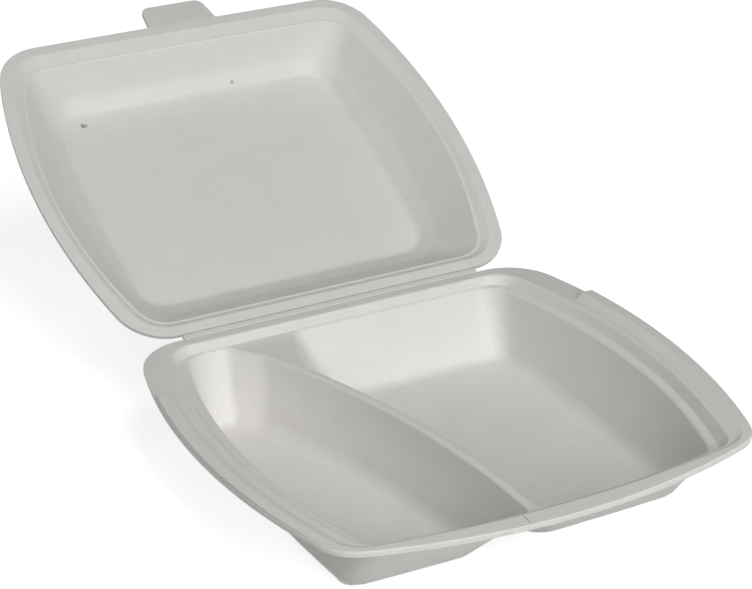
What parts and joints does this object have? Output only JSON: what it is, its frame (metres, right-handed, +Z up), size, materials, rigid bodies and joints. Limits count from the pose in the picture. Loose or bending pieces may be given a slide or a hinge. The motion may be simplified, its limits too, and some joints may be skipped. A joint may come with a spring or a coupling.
{
  "type": "hinged foam meal box",
  "caption": "White foam takeaway meal box with a curved divider between its compartments, a raised rim and a hinged, domed lid with a tab, shown open.",
  "frame": {"origin": "bottom centre of the whole open box, on the surface that it stands on", "axes": "+X along the hinge, +Y from the tray towards the laid-back lid, +Z up"},
  "size_m": [0.24, 0.4195, 0.1306],
  "materials": {
    "tray_foam": "smooth foam skin",
    "hinge_foam": "pressed foam skin",
    "lid_foam": "smooth foam skin"
  },
  "bodies": {
    "tray": {"base_tray": "tray_foam"},
    "strip": {"hinge_strip": "hinge_foam"},
    "cover": {"lid": "lid_foam"}
  },
  "joints": [
    {"name": "tray_crease", "type": "hinge", "parent": "tray", "child": "strip", "pos_m": [0, 0.00923, 0.04], "axis": [1, 0, 0], "range_deg": [-12.6, 77.4]},
    {"name": "lid_crease", "type": "hinge", "parent": "strip", "child": "cover", "pos_m": [0, 0.01294, 0.04083], "axis": [1, 0, 0], "range_deg": [-12.6, 77.4]}
  ],
  "couplings": [
    {"joint": "lid_crease", "follows": "tray_crease", "ratio": 1}
  ]
}
